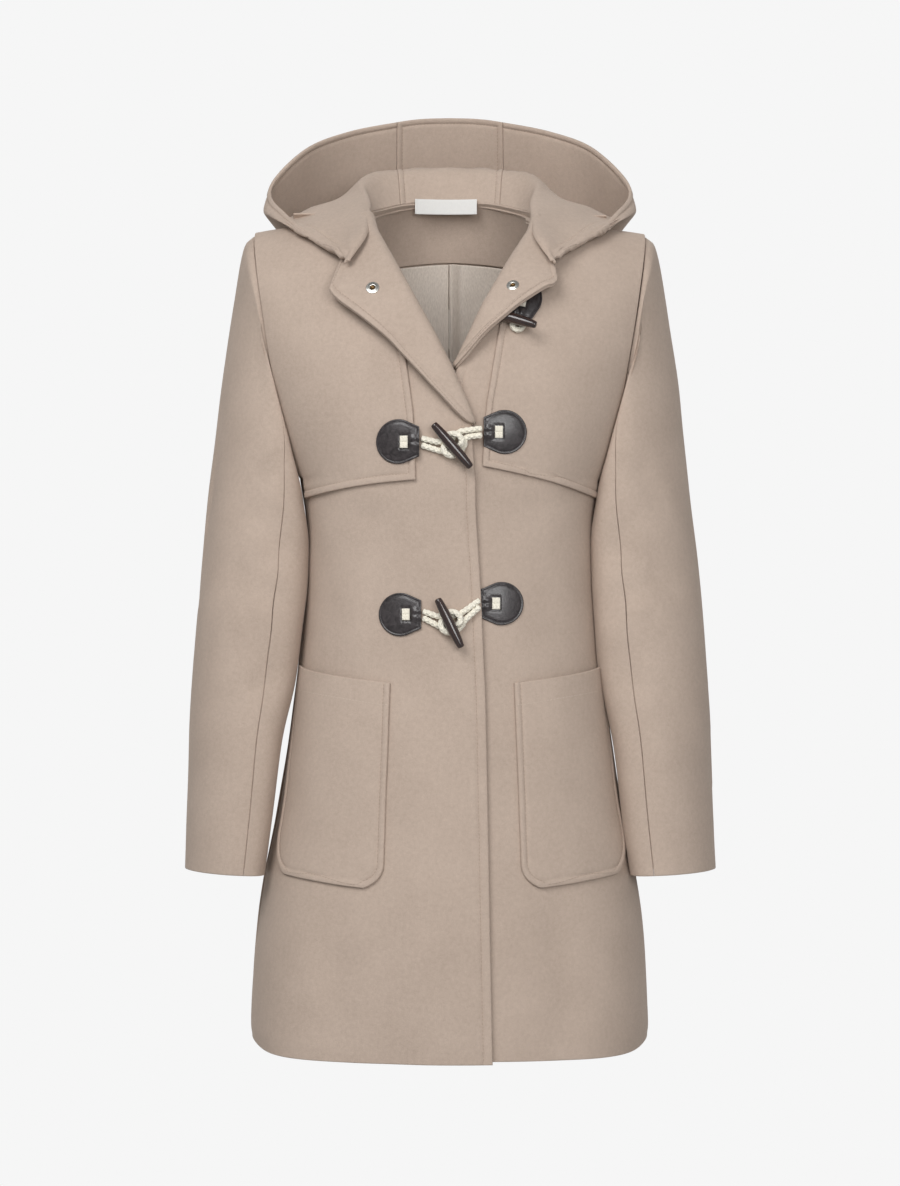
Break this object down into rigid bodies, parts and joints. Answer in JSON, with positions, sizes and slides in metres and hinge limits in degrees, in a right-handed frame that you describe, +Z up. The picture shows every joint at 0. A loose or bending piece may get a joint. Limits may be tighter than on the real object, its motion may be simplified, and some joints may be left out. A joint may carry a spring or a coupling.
{
  "type": "duffle coat",
  "caption": "Knee-length hooded wool coat, hollow as when worn, with hood down, lapels open, patch pockets and a toggle fastening on leather patches.",
  "frame": {"origin": "the point on the centre line level with the shoulder ends of the neck opening, where the coat hangs on the wearer", "axes": "+X towards the wearer's left, -Y out of the front, +Z up along the centre line"},
  "size_m": [0.5192, 0.3395, 0.9281],
  "materials": {
    "wool": "brushed wool coating",
    "facing": "brushed wool coating",
    "lining": "satin lining",
    "leather": "glossy",
    "toggle": "polished",
    "cord": "braided cotton",
    "label": "blank woven label",
    "snap": "satin"
  },
  "bodies": {
    "root": {"back": "wool", "cord_bar_low_left": "cord", "cord_bar_low_right": "cord", "cord_bar_mid_left": "cord", "cord_bar_mid_right": "cord", "cord_bar_top_left": "cord", "cord_bar_top_right": "cord", "cord_loop_low": "cord", "cord_loop_mid": "cord", "cord_loop_top": "cord", "cord_toggle_low": "cord", "cord_toggle_mid": "cord", "cord_toggle_top": "cord", "facing_back_neck": "facing", "facing_left": "facing", "facing_right": "facing", "front_left": "wool", "front_right": "wool", "hood_centre": "wool", "hood_side_left": "wool", "hood_side_right": "wool", "label": "label", "lining_back": "lining", "patch_low_left": "leather", "patch_low_right": "leather", "patch_mid_left": "leather", "patch_mid_right": "leather", "patch_top_left": "leather", "patch_top_right": "leather", "pocket_left": "wool", "pocket_right": "wool", "snap_left": "snap", "snap_right": "snap", "storm_flap_left": "wool", "storm_flap_right": "wool", "toggle_low": "toggle", "toggle_mid": "toggle", "toggle_top": "toggle", "top_sleeve_left": "wool", "top_sleeve_right": "wool", "under_sleeve_left": "wool", "under_sleeve_right": "wool"}
  },
  "joints": []
}
